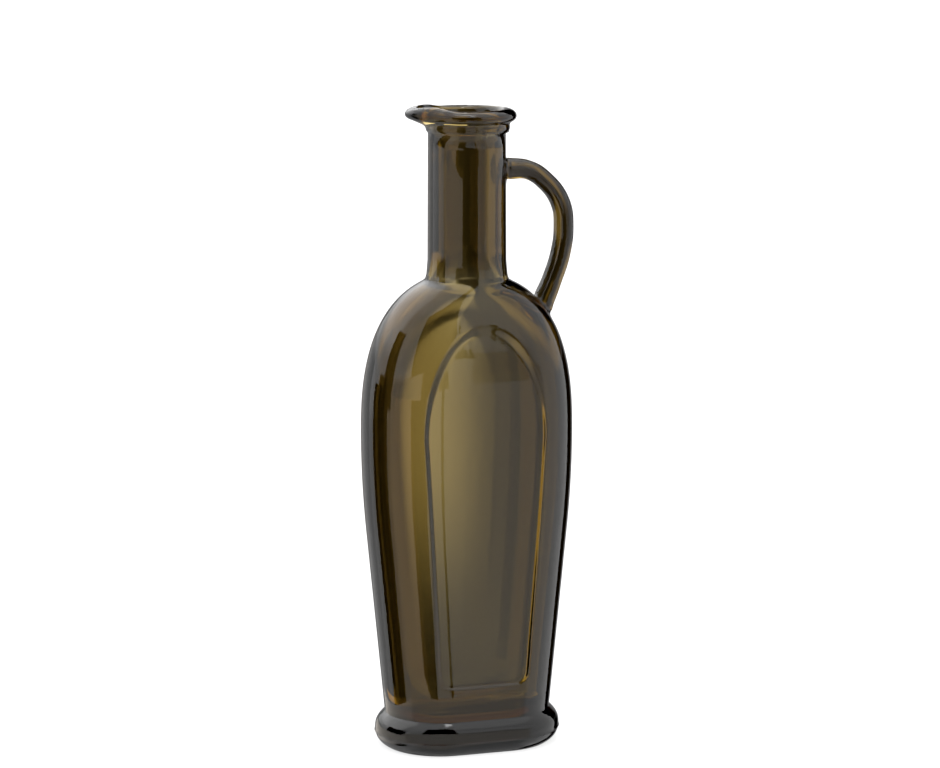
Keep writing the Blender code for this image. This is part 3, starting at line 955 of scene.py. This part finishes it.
# %% What the camera sees of the room
path_kind = air.nodes.new("ShaderNodeLightPath").outputs
plain = air.nodes.new("ShaderNodeMath")
plain.operation = "MAXIMUM"
air.links.new(path_kind["Is Camera Ray"], plain.inputs[0])
air.links.new(path_kind["Is Diffuse Ray"], plain.inputs[1])
room = air.nodes.new("ShaderNodeMix")
room.data_type = "FLOAT"
air.links.new(plain.outputs[0], room.inputs["Factor"])
air.links.new(light, room.inputs["A"])
room.inputs["B"].default_value = 1.0
air.links.new(room.outputs["Result"], background.inputs["Strength"])
warm = air.nodes.new("ShaderNodeMath")
warm.operation = "SUBTRACT"
warm.use_clamp = True
air.links.new(warmth, warm.inputs[0])
air.links.new(plain.outputs[0], warm.inputs[1])
tint = air.nodes.new("ShaderNodeMix")
tint.data_type = "RGBA"
air.links.new(warm.outputs[0], tint.inputs["Factor"])
tint.inputs["A"].default_value = (1.0, 1.0, 1.0, 1.0)
tint.inputs["B"].default_value = WARM_TINT
air.links.new(tint.outputs["Result"], background.inputs["Color"])
print("studio:", len(air.nodes), "nodes")

# %% [markdown]
# The front of the tent is near the bottle, so it can't be a mere direction: the neck sees it from
# higher up than the foot. Its dark openings are cards that show only in the glass: a wide one in
# front, narrow slits under it, and a slit at the left. The slits give the long dark streaks on the
# left flank and along both edges of the label panel. Bright cloths hang beside the foot of the wide
# opening, for the flanks of the neck, and low boards stand close before the bottle's foot, so that
# its bead mirrors light and not the slits.

# %% The tent's openings
CARDS = (
    ("wide_opening", 0, 280, (-175, 190), (164, 460), 0.0),
    ("opening_foot", 0, 280, (-60, 175), (112, 164), 0.0),
    ("neck_cloth_left", 0, 280, (-520, -60), (116, 164), 1.0),
    ("neck_cloth_right", 0, 280, (190, 700), (116, 176), 0.7),
    ("front_slit", 0, 280, (-143, -15), (-90, 112), 0.0),
    ("right_slit", 0, 280, (130, 155), (-90, 112), 0.0),
    ("left_slit", -87, 280, (-76, 87), (-260, 128), 0.0),
    ("front_board", 0, 34, (-60, 60), (-12, 15), 1.0),
    ("left_board", -87, 44, (-30, 32), (-12, 8), 1.4),
)  # name, degrees from the camera's side, distance, left and right end, lower and upper edge (mm), light
BOARD_TINT = (1.0, 0.93, 0.84, 1.0)


def card_material(name, brightness):
    """Black card, or pale board that is lit."""
    made = bpy.data.materials.new(name)
    made.use_nodes = True
    made.cycles.emission_sampling = "NONE"
    card_shader = made.node_tree.nodes["Principled BSDF"]
    card_shader.inputs["Base Color"].default_value = (0.0, 0.0, 0.0, 1.0)
    card_shader.inputs["Roughness"].default_value = 1.0
    card_shader.inputs["Specular IOR Level"].default_value = 0.0
    card_shader.inputs["Emission Color"].default_value = BOARD_TINT
    card_shader.inputs["Emission Strength"].default_value = brightness
    return made


def studio_card(name, degrees, ends, edges, distance, material):
    """An upright card, square to the direction of its turn, that shows only in the glass."""
    turn = math.radians(degrees)
    outward = towards_camera * math.cos(turn) + camera_right * math.sin(turn)
    sideways = camera_right * math.cos(turn) - towards_camera * math.sin(turn)
    card_mesh = bmesh.new()
    bmesh.ops.create_grid(card_mesh, x_segments=1, y_segments=1, size=0.5)
    for vert in card_mesh.verts:
        from_middle = sideways * ends[int(vert.co.x > 0)] * MM
        up = Vector((0.0, 0.0, edges[int(vert.co.y > 0)] * MM))
        vert.co = from_middle + outward * distance + up
    card = linked_object(name, card_mesh)
    card.data.materials.append(material)
    card.visible_camera = False
    card.visible_diffuse = False
    card.visible_shadow = False
    return card


for card_name, card_turn, card_distance, ends, edges, brightness in CARDS:
    cloth = card_material(card_name, brightness)
    studio_card(card_name, card_turn, ends, edges, card_distance * MM, cloth)
print("cards and boards:", [name for name, *_ in CARDS])

# %% [markdown]
# What shows through the glass is the backdrop close behind it, and that isn't evenly lit: it is
# bright a little left of the middle, and falls off to both sides, up, and down to the table. One
# card gives this: each glow on it is a product of soft ramps across and up, and the glows are
# added. Only rays that have gone through glass see it, since the picture has a white background.

# %% The backdrop behind the bottle
BACKDROP_DISTANCE = 300 * MM
BACKDROP_ACROSS = (-700, 700)
BACKDROP_HEIGHTS = (-260, 380)
BACKDROP_DARK = 0.012
BACKDROP_GLOWS = {
    "middle": (
        ("across", -92, -12, 0.0, 0.58),
        ("across", -17, 16, 1.0, 0.0),
        ("up", -40, 50, 0.0, 1.0),
        ("up", 98, 130, 1.0, 0.08),
    ),
    "faint rest": (("across", -150, -90, 0.0, 0.03), ("across", 40, 130, 1.0, 0.0)),
    "behind the handle": (
        ("across", 45, 85, 0.0, 0.42),
        ("up", 100, 130, 0.0, 1.0),
        ("up", 170, 200, 1.0, 0.0),
    ),
    "left of the shoulder": (("across", -160, -100, 0.7, 0.0), ("up", 150, 210, 0.0, 1.0)),
}  # for each ramp: which way, where it starts and ends in millimetres, and the values there


def ramp(tree, value, start, end, first, last):
    """Goes softly from first to last while value goes from start to end, in millimetres."""
    node = tree.nodes.new("ShaderNodeMapRange")
    node.interpolation_type = "SMOOTHSTEP"
    tree.links.new(value, node.inputs["Value"])
    node.inputs["From Min"].default_value = start * MM
    node.inputs["From Max"].default_value = end * MM
    node.inputs["To Min"].default_value = first
    node.inputs["To Max"].default_value = last
    return node.outputs["Result"]


backdrop_light = bpy.data.materials.new("backdrop_light")
backdrop_light.use_nodes = True
backdrop_light.cycles.emission_sampling = "NONE"
tree = backdrop_light.node_tree
place = tree.nodes.new("ShaderNodeTexCoord").outputs["Object"]
along = tree.nodes.new("ShaderNodeVectorMath")
along.operation = "DOT_PRODUCT"
tree.links.new(place, along.inputs[0])
along.inputs[1].default_value = camera_right
split = tree.nodes.new("ShaderNodeSeparateXYZ")
tree.links.new(place, split.inputs[0])
ways = {"across": along.outputs["Value"], "up": split.outputs["Z"]}
glow = None
for name, ramps in BACKDROP_GLOWS.items():
    patch_light = None
    for way, start, end, first, last in ramps:
        step = ramp(tree, ways[way], start, end, first, last)
        patch_light = step if patch_light is None else two_values(tree, "MULTIPLY", patch_light, step)
    glow = patch_light if glow is None else two_values(tree, "ADD", glow, patch_light)
lit_cloth = tree.nodes.new("ShaderNodeMath")
lit_cloth.operation = "ADD"
lit_cloth.inputs[1].default_value = BACKDROP_DARK
tree.links.new(glow, lit_cloth.inputs[0])
backdrop_shader = tree.nodes["Principled BSDF"]
backdrop_shader.inputs["Base Color"].default_value = (0.0, 0.0, 0.0, 1.0)
backdrop_shader.inputs["Specular IOR Level"].default_value = 0.0
backdrop_shader.inputs["Emission Strength"].default_value = 1.0
tree.links.new(lit_cloth.outputs[0], backdrop_shader.inputs["Emission Color"])

backdrop = studio_card(
    "backdrop", 0, BACKDROP_ACROSS, BACKDROP_HEIGHTS, -BACKDROP_DISTANCE, backdrop_light
)
backdrop.visible_glossy = False
print("backdrop card", round(BACKDROP_DISTANCE / MM), "mm behind the bottle, lit:", list(BACKDROP_GLOWS))

# %% [markdown]
# Light crosses up to eight glass faces on its way through the bottle, so more bounces are allowed
# than usual. Patterns of focused light on the floor are left out, since they would be noise. The
# denoiser works from the colours alone: its other passes are noisy in clear glass and leave specks.

# %% Light paths and picture
scene = bpy.context.scene
scene.view_settings.view_transform = "Standard"
scene.cycles.use_denoising = True
scene.cycles.denoising_input_passes = "RGB"
scene.cycles.max_bounces = 24
scene.cycles.transmission_bounces = 20
scene.cycles.glossy_bounces = 12
scene.cycles.caustics_reflective = False
scene.cycles.caustics_refractive = False
print("light may bounce", scene.cycles.max_bounces, "times")
